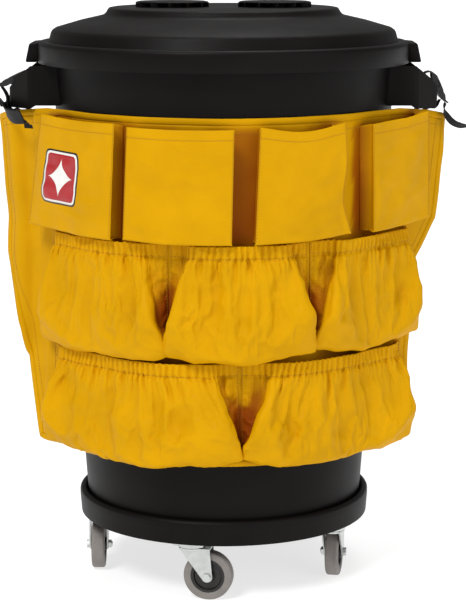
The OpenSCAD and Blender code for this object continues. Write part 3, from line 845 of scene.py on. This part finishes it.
def ruffle(grid, pouch, seed):
    """Gathers: sharp narrow tucks in the band, which merge into fewer, softer folds below it"""
    b = bag()
    rows, columns = grid.shape[:2]
    width = pouch.right - pouch.left
    u = np.linspace(0, 1, columns)[None, :]
    z = grid[..., 2]
    down = pouch.hem - z
    s = np.broadcast_to(pouch.left + width * u, z.shape)
    drift = 5 * noise_field(s, z * 0.15, 30, seed) + 1.5 * noise_field(s, z, 9, seed + 2)
    size = 1 + 0.45 * noise_field(s, z * 0.1, 18, seed + 4)
    front = np.clip(1 - np.abs(2 * u - 1) ** 10, 0, 1)

    def tucks(pitch, shift):
        """Rounded folds with sharp valleys, a pitch apart"""
        return np.abs(np.sin(np.pi * (s + drift + shift) / pitch)) ** 0.8 - 0.6
    in_band = 1 / (1 + np.exp((down - b.band) / 2.0))
    pinch = np.exp(-((down - b.band) / 2.6) ** 2)
    fine = 4.3 * size * tucks(8.6, 0) * (in_band + (1 - in_band) * np.exp(-(down - b.band) / 13))
    mid = 5.4 * tucks(23, 5) * (1 - in_band) * np.exp(-np.maximum(0, down - b.band - 4) / 30)
    mid *= 1 + 0.8 * noise_field(s, z * 0.2, 40, seed + 6)
    wide = 6.0 * tucks(61, 17) * (1 - in_band) * np.clip((down - b.band) / 26, 0, 1) * np.exp(-down / 95)
    lift = (fine + mid + wide) * front - pinch * 2.6 * front
    # A few deep slits run down from the band, each with a soft bulge on either side
    chance = random.Random(seed)
    place = pouch.left + chance.uniform(16, 30)
    while place < pouch.right - 16:
        length, deep = chance.uniform(22, 62), chance.uniform(4.5, 9.0)
        lean = (place - (pouch.left + pouch.right) / 2) / width * 0.5 + chance.uniform(-0.15, 0.15)
        below = np.clip(down - b.band + 3, 0, None)
        off = s - place - lean * below
        run = np.clip(below / 5, 0, 1) * np.clip(1 - below / length, 0, 1) ** 0.8
        lift += run * front * (0.35 * deep * np.exp(-(off / 13) ** 2)
                               - 1.25 * deep * np.exp(-np.abs(off) / 3.2))
        place += chance.uniform(15, 38)
    return grid + normals(grid) * lift[..., None]


def crumple(grid, seed):
    """Soft dents and a few creases over a sheet"""
    columns = grid.shape[1]
    s = np.cumsum(np.concatenate([np.zeros((grid.shape[0], 1)),
                                  np.linalg.norm(np.diff(grid, axis=1), axis=2)], 1), 1)
    z = grid[..., 2]
    wave = 3.2 * noise_field(s, z, 48, seed) + 1.2 * noise_field(s + z * 0.5, z, 20, seed + 1)
    crease = 3.4 * noise_field(s + z * 0.6, z - s * 0.25, 62, seed + 2, "creased")
    crease += 1.6 * noise_field(s * 0.7 - z * 0.6, z + s * 0.4, 35, seed + 7, "creased")
    edge = np.clip(np.minimum(np.arange(columns), np.arange(columns)[::-1]) / (0.06 * columns), 0, 1)
    rise = np.clip(np.arange(grid.shape[0])[:, None] / (0.12 * grid.shape[0]), 0, 1)
    return grid + normals(grid) * ((wave + crease) * edge[None, :] * rise)[..., None]


MOUTHS = {}  # the bands of the pouches, where the elastics lie


def make_pouch(name, node, pouch, seed):
    """Hangs, creases and gathers one pouch, and leaves its seams and mouth for what is sewn to it"""
    b = bag()
    rows, columns = 44, 84
    grid = pouch_grid(pouch, rows, columns)
    held = np.zeros((rows, columns))
    held[0, :] = held[:, 0] = held[:, -1] = 1
    held[-5:, :] = 1
    grid = settle(grid, held)
    grid = keep_off(grid, b.base + 1.2)
    fine_columns = int((pouch.right - pouch.left) * 1.15)
    grid = finer(grid, 96, fine_columns)
    grid = crumple(grid, seed)
    grid = ruffle(grid, pouch, seed)
    grid = keep_off(grid, b.base + 0.9)
    made = cloth_object(name, grid, b.cloth)
    finish(made, "coated nylon", node=node)
    band_row = int(np.argmin(np.abs(pouch.hem - grid[:, columns // 2, 2] - b.band + 1)))
    seam(grid, rows=band_row)
    seam(grid, columns=2)
    seam(grid, columns=grid.shape[1] - 3)
    MOUTHS[name.removeprefix("gathered_pouch_")] = grid[band_row + 1:-3:2]


class CADDY_OT_pouches(bpy.types.Operator):
    """Makes the five gathered pouches of the middle and bottom rows"""
    bl_idname = "caddy.pouches"
    bl_label = "Gathered pouches"

    def execute(self, context):
        for i, pouch in enumerate(MIDDLE, 1):
            make_pouch(f"gathered_pouch_middle_{i}", f"pouch_middle_{i}", pouch, 20 + i * 5.3)
        for i, pouch in enumerate(BOTTOM, 1):
            make_pouch(f"gathered_pouch_bottom_{i}", f"pouch_bottom_{i}", pouch, 50 + i * 4.1)
        return {"FINISHED"}


class CADDY_OT_elastics(bpy.types.Operator):
    """Makes the elastic bands inside the pouches' mouths"""
    bl_idname = "caddy.elastics"
    bl_label = "Elastics"

    def execute(self, context):
        for name, grid in MOUTHS.items():
            columns = grid.shape[1]
            across = np.linspace(0.13, 0.87, 150) * (columns - 1)
            inner = np.stack([[np.interp(across, np.arange(columns), row[:, k]) for k in range(3)]
                              for row in grid]).transpose(0, 2, 1)
            inner = rounded(inner.transpose(1, 0, 2), 3).transpose(1, 0, 2)
            band = sheet_object(f"elastic_{name}", inner - normals(inner) * 3.6)
            thicken(band, 0.9)
            row, number = name.split("_")
            finish(band, "woven elastic", node=f"elastic_{row}" if number == "1" else None)
        return {"FINISHED"}


class CADDY_OT_stitching(bpy.types.Operator):
    """Sews the hems and seams with rows of stitches"""
    bl_idname = "caddy.stitching"
    bl_label = "Stitching"

    def execute(self, context):
        stitches("apron_stitching", SEAMS)
        return {"FINISHED"}


class CADDY_OT_painted_fold_shade(bpy.types.Operator):
    """Marks how deep each point of the cloth lies between its neighbours, and darkens its colour there as
    painted shade
    """
    bl_idname = "caddy.folds"
    bl_label = "Folds"

    def execute(self, context):
        cell, reach = 4.0, 4
        low = np.array([-480.0, 200.0])
        outermost = np.zeros((240, 150))
        pieces = []
        for piece in SHEETS:
            co = np.empty(len(piece.data.vertices) * 3)
            piece.data.vertices.foreach_get("co", co)
            points = co.reshape(-1, 3) / MM
            s, n, turn = off_bag(points)
            facing = np.empty(len(co))
            piece.data.vertices.foreach_get("normal", facing)
            facing = facing.reshape(-1, 3)
            back = facing[:, 0] * np.sin(turn) * np.sign(points[:, 0]) < facing[:, 1] * np.cos(turn)
            if not piece.name.startswith("apron"):
                back[:] = False
            at = ((np.stack([s, points[:, 2]], -1) - low) / cell).astype(int)
            at = np.clip(at, 0, np.array(outermost.shape) - 1)
            np.maximum.at(outermost, (at[:, 0], at[:, 1]), n)
            pieces.append((piece, at, n, back))
        # Each place takes the highest level within reach, and the levels are then smoothed
        level = outermost.copy()
        for shift in range(-reach, reach + 1):
            level = np.maximum(level, np.roll(outermost, shift, 0))
        for _ in range(4):
            for axis in (0, 1):
                level = (np.roll(level, 1, axis) + 2 * level + np.roll(level, -1, axis)) / 4
        for piece, at, n, back in pieces:
            # Painted shade: cloth that lies deeper than its neighbours gets a darker, redder colour
            depth = np.clip((level[at[:, 0], at[:, 1]] - n - 8) / 29, 0, 1)
            depth[back] = 0
            values = piece.data.attributes.new("painted_fold_shade", "FLOAT", "POINT")
            values.data.foreach_set("value", depth * depth * (3 - 2 * depth))
        return {"FINISHED"}


# ---- Badge ----

class CADDY_OT_badge(bpy.types.Operator):
    """Prints a plain badge, a four-pointed sparkle in a square, on the first flat pocket"""
    bl_idname = "caddy.badge"
    bl_label = "Badge"

    def execute(self, context):
        grid = flat_pocket_grid(FLAT_POCKETS[0], POCKET_SEED)
        front = grid[FLOOR_ROWS:, GUSSET_POINTS:grid.shape[1] - GUSSET_POINTS]
        outward = normals(front)
        rows, columns = front.shape[:2]
        width = np.linalg.norm(front[rows // 2, -1] - front[rows // 2, 0])
        height = np.linalg.norm(front[-1, columns // 2] - front[0, columns // 2])

        def place(x, y, lift):
            """A point of the front, from its middle, in mm"""
            i = (x / width + 0.40) * (columns - 1)
            j = (y / height + 0.47) * (rows - 1)
            a, b = int(i), int(j)
            p, q = i - a, j - b
            def mix(values):
                return ((values[b, a] * (1 - p) + values[b, a + 1] * p) * (1 - q)
                        + (values[b + 1, a] * (1 - p) + values[b + 1, a + 1] * p) * q)
            return mix(front) + mix(outward) * lift

        def patch(name, outline, lift, ink):
            """A flat printed shape, filled from its middle in rings"""
            rings = 12
            verts = [place(0, 0, lift)]
            for ring in range(1, rings + 1):
                verts += [place(x * ring / rings, y * ring / rings, lift) for x, y in outline]
            count = len(outline)
            faces = [(0, 1 + k, 1 + (k + 1) % count) for k in range(count)]
            for ring in range(rings - 1):
                a = 1 + ring * count
                faces += [(a + k, a + count + k, a + count + (k + 1) % count, a + (k + 1) % count)
                          for k in range(count)]
            mesh = bpy.data.meshes.new(name)
            mesh.from_pydata([tuple(v * MM) for v in verts], [], faces)
            made = link(name, mesh)
            thicken(made, 0.12)
            finish(made, ink)

        def square(half, corner):
            line = []
            for quarter in range(4):
                turn = math.pi / 2 * quarter
                cx = (half - corner) * (1 if quarter in (0, 3) else -1)
                cy = (half - corner) * (1 if quarter in (0, 1) else -1)
                for k in range(7):
                    a = turn + math.pi / 2 * k / 6
                    line.append((cx + corner * math.cos(a), cy + corner * math.sin(a)))
            return spread(line + line[:1], 97)[:-1]

        def sparkle(reach):
            line = []
            for k in range(96):
                a = 2 * math.pi * k / 96
                c, d = math.cos(a), math.sin(a)
                line.append((reach * c ** 3, reach * d ** 3))
            return line

        patch("badge_border", square(42, 10), 0.35, "black ink")
        patch("badge_ring", square(39.5, 8.5), 0.5, "white ink")
        patch("badge_field", square(36, 6), 0.65, "red ink")
        patch("badge_sparkle", sparkle(30), 0.8, "white ink")
        return {"FINISHED"}


# ---- Straps ----

def smooth_route(route):
    """Points on a smooth curve through a strap's route, with the directions across it"""
    fine = finer(np.array(route, float), (len(route) - 1) * 8 + 1, 2)
    return fine[:, 0], fine[:, 1]


WEBBING_WIDTH, WEBBING_THICKNESS = 25.0, 1.5


def webbing(name, route, tip=1.0):
    """A flat strap along its route, with thicker woven edges; its last fifth narrows to tip"""
    points, across = smooth_route(route)
    along = np.gradient(points, axis=0)
    along /= np.linalg.norm(along, axis=1, keepdims=True)
    across -= along * (across * along).sum(1, keepdims=True)
    across /= np.linalg.norm(across, axis=1, keepdims=True)
    out = np.cross(along, across)
    taper = np.ones(len(points))
    tail = max(2, len(points) // 5)
    taper[-tail:] = np.linspace(1, tip, tail)
    columns = []
    for t in np.linspace(-1, 1, 13):
        lift = 0.22 * (abs(t) > 0.8) - 0.1 * (abs(t) < 0.5)
        columns.append(points + across * (WEBBING_WIDTH / 2 * t * taper)[:, None]
                       + out * (WEBBING_THICKNESS / 2 + lift))
    strap = sheet_object(name, np.array(columns).transpose(1, 0, 2))
    thicken(strap, WEBBING_THICKNESS)
    dress(strap, "polypropylene webbing")
    return strap


# Routes of the right-hand straps, as (point, direction across), in mm; the left ones are mirrored
SEWN, HALF, FLAT = (0.656, 0.755, 0), (0.3, 0.95, 0), (0, 1, 0)
INNER_RIGHT = [
    ((299.4, -56, 712), SEWN), ((300, -55.6, 727), SEWN), ((302, -52, 743), HALF), ((304, -42, 759), FLAT),
    ((306, -31, 775), FLAT), ((309.5, -26, 787), FLAT), ((315, -25, 794.6), FLAT), ((322, -25, 796.2), FLAT)]
INNER_LEFT = [
    ((299.4, -56, 712), SEWN), ((300, -55.6, 727), SEWN), ((301.5, -51, 743), HALF), ((301, -41, 759), FLAT),
    ((300.3, -30, 775), FLAT), ((300, -26, 785), FLAT), ((300.3, -25, 791), FLAT), ((301, -25, 796), FLAT)]
OUTER_RIGHT = [
    ((315.4, -35, 712), SEWN), ((315.6, -34.8, 729), SEWN), ((319.4, -31, 738.6), HALF),
    ((328.5, -28, 740.5), FLAT), ((335, -26, 745.5), FLAT), ((339, -25, 753.5), FLAT)]
OUTER_LEFT = [
    ((315.4, -35, 710), SEWN), ((315.8, -34.6, 727), SEWN), ((320.5, -31.3, 738.9), HALF),
    ((330, -28.5, 740.6), FLAT), ((333.6, -27, 745.8), FLAT), ((334.2, -26, 753), FLAT),
    ((336.4, -25, 763.5), FLAT), ((344, -25, 774.5), FLAT)]
TAIL_RIGHT = [
    ((345.3, -25, 749.4), FLAT), ((343.6, -25, 744.5), FLAT), ((343.8, -26, 737.5), (0.1, 0.95, 0.15)),
    ((347, -27, 729.5), (0.25, 0.93, 0.2)), ((354.5, -28, 720), (0.3, 0.92, 0.2)),
    ((363, -28, 714.5), (0.25, 0.93, 0.2)), ((372, -28, 712), (0.15, 0.95, 0.2)),
    ((380, -28, 711.5), (0, 0.97, 0.15))]
TAIL_LEFT = [
    ((347.2, -25, 774), FLAT), ((341.6, -26, 763.5), FLAT), ((339.6, -31, 753), (0.15, 0.9, 0.4)),
    ((338, -50, 744), (0.3, 0.3, 0.9)), ((331.5, -75, 737), (0.45, 0, 0.89)),
    ((321, -95, 734.5), (0.5, 0, 0.87)), ((304, -116, 735.5), (0.55, 0, 0.83))]


def flipped(route):
    """The same route on the left-hand side"""
    return [((-p[0], p[1], p[2]), (-a[0], a[1], a[2])) for p, a in route]


class CADDY_OT_straps(bpy.types.Operator):
    """Makes the webbing straps and their loose tails"""
    bl_idname = "caddy.straps"
    bl_label = "Straps"

    def execute(self, context):
        for side, inner, outer, tail, tip in (
                ("right", INNER_RIGHT, OUTER_RIGHT, TAIL_RIGHT, 0.6),
                ("left", flipped(INNER_LEFT), flipped(OUTER_LEFT), flipped(TAIL_LEFT), 0.9)):
            strap = webbing(f"webbing_inner_{side}", inner)
            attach(strap, "container")
            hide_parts(f"strap_inner_{side}")
            strap = webbing(f"webbing_outer_{side}", outer)
            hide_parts(f"strap_outer_{side}")
            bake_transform(strap)
            strap = webbing(f"webbing_tail_{side}", tail, tip=tip)
            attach(strap, f"buckle_{side}")
            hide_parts(f"strap_tail_{side}")
        return {"FINISHED"}


# ---- Hard pieces ----

# The lid's outside from its rim to its middle, as (radius, height), in mm
LID_PROFILE = [
    (290, 812), (290, 838), (289.5, 840.7), (288, 843), (285.7, 844.5), (283, 845), (278.3, 845),
    (276, 843.7), (274, 843.8), (272.6, 846), (269.3, 858), (267, 861.8), (262, 865.2), (225, 876),
    (190, 884), (186, 885.8), (182.5, 889.5), (180.5, 893.5), (178.5, 895.5), (175, 896.3), (90, 896.6)]
# The edge of a finger grip's cap, as (share of its radius, height above its middle)
GRIP = [(1.0, -3.2), (1.0, -2.0), (0.98, -1.2), (0.9, -0.5), (0.7, 0.0), (0.4, 0.2)]


def turned(name, profile, around):
    """A turned skin through (radius, height) points in mm, from its open edge to its closed middle"""
    bpy.ops.object.select_all(action="DESELECT")
    radius, height = profile[0]
    bpy.ops.mesh.primitive_circle_add(vertices=around, radius=radius * MM, location=(0, 0, 0))
    obj = bpy.context.object
    obj.name = name
    bpy.ops.object.mode_set(mode="EDIT")
    bpy.ops.mesh.select_all(action="SELECT")
    bpy.ops.transform.translate(value=(0, 0, height * MM))
    for r, z in profile[1:]:
        bpy.ops.mesh.extrude_region_move(TRANSFORM_OT_translate={"value": (0, 0, (z - height) * MM)})
        bpy.ops.transform.resize(value=(r / radius, r / radius, 1), center_override=(0, 0, z * MM))
        radius, height = r, z
    bpy.ops.mesh.extrude_region_move()
    bpy.ops.mesh.merge(type="CENTER")
    face_outwards()
    bpy.ops.object.mode_set(mode="OBJECT")
    return obj


def box(name, size, place, turn=0.0, round_off=0.0):
    """A box of the given size, turned about the vertical, with rounded edges"""
    bpy.ops.object.select_all(action="DESELECT")
    bpy.ops.mesh.primitive_cube_add(size=1, location=[c * MM for c in place], rotation=(0, 0, turn))
    obj = bpy.context.object
    obj.name = name
    obj.scale = [c * MM for c in size]
    bpy.ops.object.transform_apply(location=True, rotation=True, scale=True)
    if round_off:
        soften(obj, round_off)
    return obj


def soften(obj, width, segments=3, angle=30):
    """Rounds the edges that are sharper than an angle in degrees"""
    mod = obj.modifiers.new("rounding", "BEVEL")
    mod.width = width * MM
    mod.segments = segments
    mod.limit_method = "ANGLE"
    mod.angle_limit = math.radians(angle)
    apply_all(obj)


def joined(name, objects):
    """Joins shaped parts into one piece, with its place in its mesh"""
    activate(objects[0])
    for obj in objects:
        obj.select_set(True)
    bpy.ops.object.join()
    bpy.ops.object.transform_apply(location=True, rotation=True, scale=True)
    objects[0].name = name
    bpy.ops.object.shade_smooth_by_angle(angle=math.radians(38))
    return objects[0]


class CADDY_OT_lid(bpy.types.Operator):
    """Makes the lid: a rounded lip, a dome, a raised middle, two side tabs and two finger grips"""
    bl_idname = "caddy.lid"
    bl_label = "Lid"

    def execute(self, context):
        shell = turned("lid_shell", LID_PROFILE, around=192)
        thicken(shell, 3.4)
        soften(shell, 0.9, 2, 60)
        pieces = [shell]
        top = LID_PROFILE[-2][1]
        for side in (-1, 1):
            tab = box("tab", (23, 76, 31), (side * 296, 0, 828))
            activate(tab)
            bpy.ops.object.mode_set(mode="EDIT")
            bpy.ops.mesh.select_all(action="DESELECT")
            bpy.ops.object.mode_set(mode="OBJECT")
            for vertex in tab.data.vertices:
                vertex.select = vertex.co.z > 0.83 and vertex.co.x * side > 0.296
            bpy.ops.object.mode_set(mode="EDIT")
            bpy.ops.transform.translate(value=(-side * 6.5 * MM, 0, -1.5 * MM))
            bpy.ops.object.mode_set(mode="OBJECT")
            soften(tab, 3.0)
            cap = turned("cap", [(50 * r, top + 10 + z) for r, z in GRIP], around=64)
            core = turned("core", [(34, top - 1), (34, top + 7.5), (30, top + 8)], around=48)
            for piece, stretch in ((cap, 1.12), (core, 1.15)):
                activate(piece)
                piece.scale = (stretch, 0.94, 1)
                piece.location = (side * 80 * MM, 0, 0)
                bpy.ops.object.transform_apply(location=True, rotation=True, scale=True)
            thicken(cap, 2.0)
            pieces += [tab, cap, core]
            for k in range(12):
                a = 2 * math.pi * k / 12
                x, y = math.cos(a), math.sin(a)
                for reach, lean in ((39, 0.35), (47, 0.8)):
                    place = (side * 80 + 1.12 * reach * x, 0.94 * reach * y, top + 3.6)
                    pieces.append(box("fin", (12, 2.2, 8), place, turn=a + side * lean, round_off=0.6))
        made = joined("lid_moulding", pieces)
        finish(made, "moulded polyethylene", body="lid", node="lid")
        return {"FINISHED"}


class CADDY_OT_finishes(bpy.types.Operator):
    """Gives the dolly, casters, container, lid, handles and buckles their finishes"""
    bl_idname = "caddy.finishes"
    bl_label = "Finishes"

    def execute(self, context):
        by_slot = {"black_plastic": "moulded polyethylene", "zinc_steel": "zinc plated steel",
                   "grey_rubber": "thermoplastic rubber", "core_plastic": "moulded nylon",
                   "buckle_plastic": "moulded acetal", "black_webbing": "polypropylene webbing"}
        for part in frame["record"]["subparts"]:
            if part["material_slot"] in by_slot:
                dress(frame["nodes"][part["node"]], by_slot[part["material_slot"]])
        return {"FINISHED"}


# ---- Stage ----

class CADDY_OT_stage(bpy.types.Operator):
    """Sets the camera, a pale floor and soft studio light"""
    bl_idname = "caddy.stage"
    bl_label = "Stage"

    def execute(self, context):
        scene = context.scene
        stage = scene.caddy_stage
        camera = bpy.data.objects.new("camera", bpy.data.cameras.new("camera"))
        camera.data.lens = stage.lens
        camera.data.sensor_width = 36
        camera.data.clip_end = 100
        camera.location = stage.camera
        camera.rotation_euler = (math.pi / 2 - stage.pitch, 0, 0)
        scene.collection.objects.link(camera)
        scene.camera = camera
        scene.view_settings.view_transform = "Standard"
        world = bpy.data.worlds.new("studio")
        scene.world = world
        world.use_nodes = True
        sky = world.node_tree.nodes["Background"]
        sky.inputs["Color"].default_value = (1, 1, 1, 1)
        sky.inputs["Strength"].default_value = stage.sky
        bpy.ops.mesh.primitive_plane_add(size=160, location=(0, 0, 0))
        floor = context.object
        floor.name = "floor"
        made, tree, bsdf = new_material("white studio floor", Roughness=0.9, Specular_IOR_Level=0.1,
                                        Emission_Color=(1, 1, 1, 1), Emission_Strength=stage.floor_glow)
        place = add(tree, "ShaderNodeTexCoord").outputs["Object"]
        cloud_the_colour(tree, bsdf, place, rgb("#a9a9a9"), rgb("#adadad"), 2.0)
        floor.data.materials.append(made)
        # Direction that each light comes from, its strength and how many degrees wide it looks
        for name, place, power, angle in (
                ("key", (-0.6, -1.0, 1.35), stage.key, 18),
                ("fill", (1.0, -1.0, 0.55), stage.fill, 50),
                ("top", (0.1, 0.5, 1.5), stage.top, 40)):
            light = bpy.data.objects.new(name, bpy.data.lights.new(name, "SUN"))
            light.data.energy = power
            light.data.angle = math.radians(angle)
            light.rotation_euler = Vector(place).to_track_quat("Z", "Y").to_euler()
            scene.collection.objects.link(light)
        return {"FINISHED"}


class CADDY_PT_panel(bpy.types.Panel):
    """Lists the pieces and their sizes"""
    bl_label = "Cleaning caddy"
    bl_idname = "CADDY_PT_panel"
    bl_space_type = "VIEW_3D"
    bl_region_type = "UI"
    bl_category = "Caddy"

    def draw(self, context):
        for operator in OPERATORS:
            self.layout.operator(operator.bl_idname)
        for group in (context.scene.caddy_bag, context.scene.caddy_colours, context.scene.caddy_stage):
            box = self.layout.box()
            for key in group.bl_rna.properties.keys():
                if key not in ("rna_type", "name"):
                    box.prop(group, key)


OPERATORS = [CADDY_OT_stage, CADDY_OT_finishes, CADDY_OT_lid, CADDY_OT_panel, CADDY_OT_flat_pockets,
             CADDY_OT_pouches, CADDY_OT_elastics, CADDY_OT_stitching, CADDY_OT_painted_fold_shade, CADDY_OT_badge,
             CADDY_OT_straps]
CLASSES = [CaddyBag, CaddyColours, CaddyStage] + OPERATORS + [CADDY_PT_panel]


def register():
    for cls in CLASSES:
        bpy.utils.register_class(cls)
    bpy.types.Scene.caddy_bag = PointerProperty(type=CaddyBag)
    bpy.types.Scene.caddy_colours = PointerProperty(type=CaddyColours)
    bpy.types.Scene.caddy_stage = PointerProperty(type=CaddyStage)


def unregister():
    del bpy.types.Scene.caddy_stage
    del bpy.types.Scene.caddy_colours
    del bpy.types.Scene.caddy_bag
    for cls in reversed(CLASSES):
        bpy.utils.unregister_class(cls)


def main():
    register()
    for operator in OPERATORS:
        group, name = operator.bl_idname.split(".")
        getattr(getattr(bpy.ops, group), name)()


if __name__ == "__main__":
    main()
